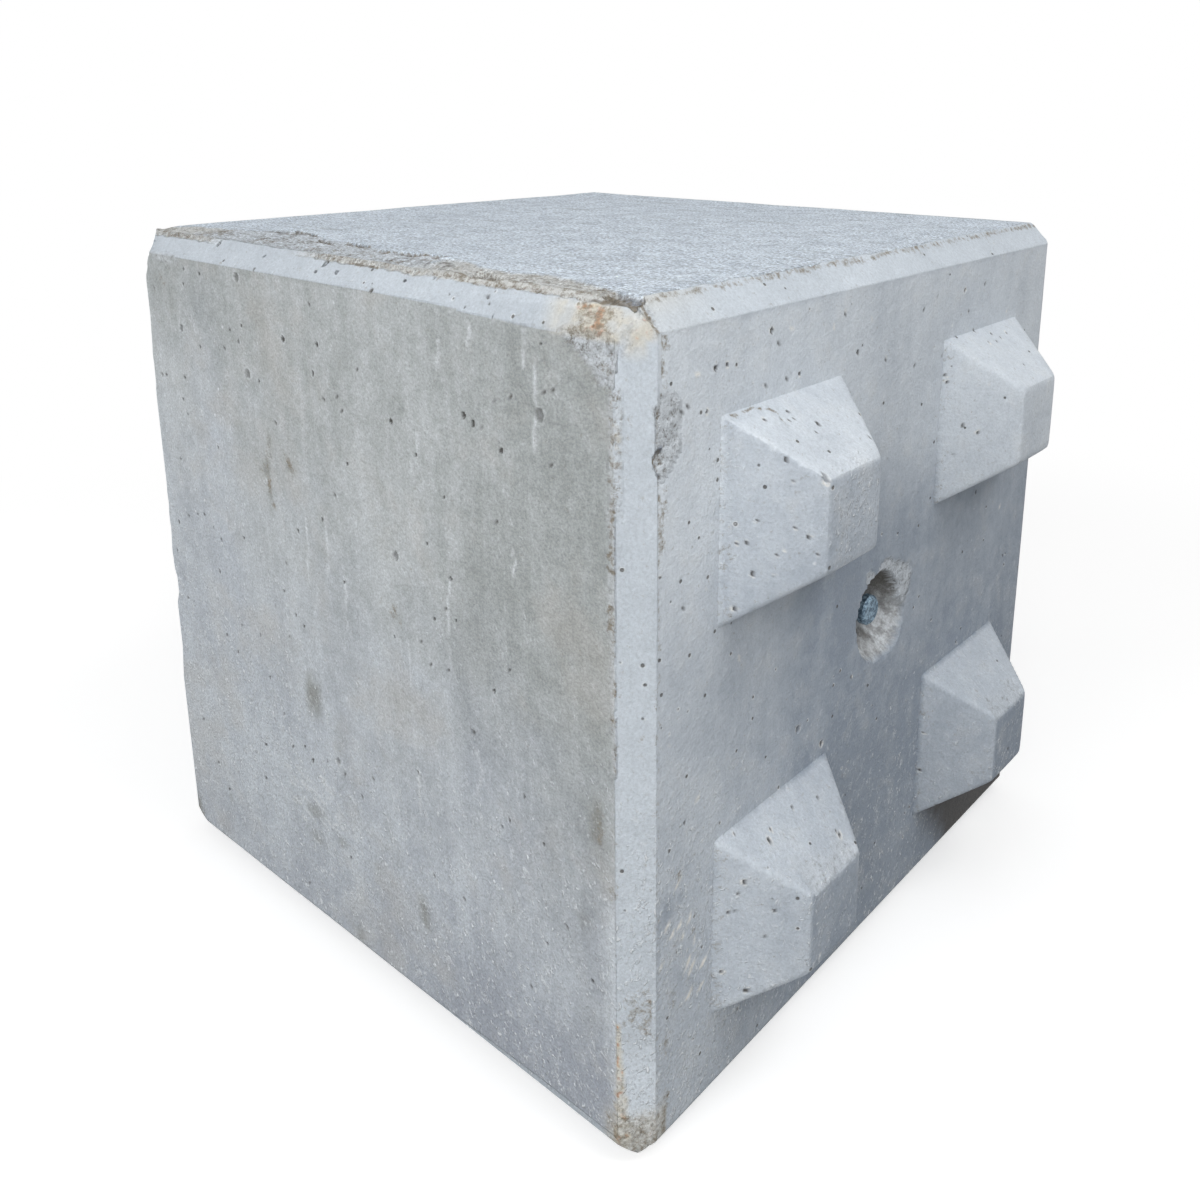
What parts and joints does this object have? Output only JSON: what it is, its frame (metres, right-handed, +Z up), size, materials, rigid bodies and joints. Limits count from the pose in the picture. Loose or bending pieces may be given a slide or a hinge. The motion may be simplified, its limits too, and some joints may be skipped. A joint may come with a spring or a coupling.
{
  "type": "interlocking concrete bulk bay block",
  "caption": "Interlocking concrete bay block with chamfered edges, pyramid studs on one face, matching sockets opposite and a cast-in lifting anchor.",
  "frame": {"origin": "middle of the flat face that the block stands on", "axes": "+Z up towards the trowelled casting face, +X out of the studded face"},
  "size_m": [0.656, 0.6, 0.6],
  "materials": {
    "concrete": "matte cast concrete",
    "galvanised_steel": "dull weathered zinc"
  },
  "bodies": {
    "root": {"concrete_block": "concrete", "lifting_anchor": "galvanised_steel"}
  },
  "joints": []
}
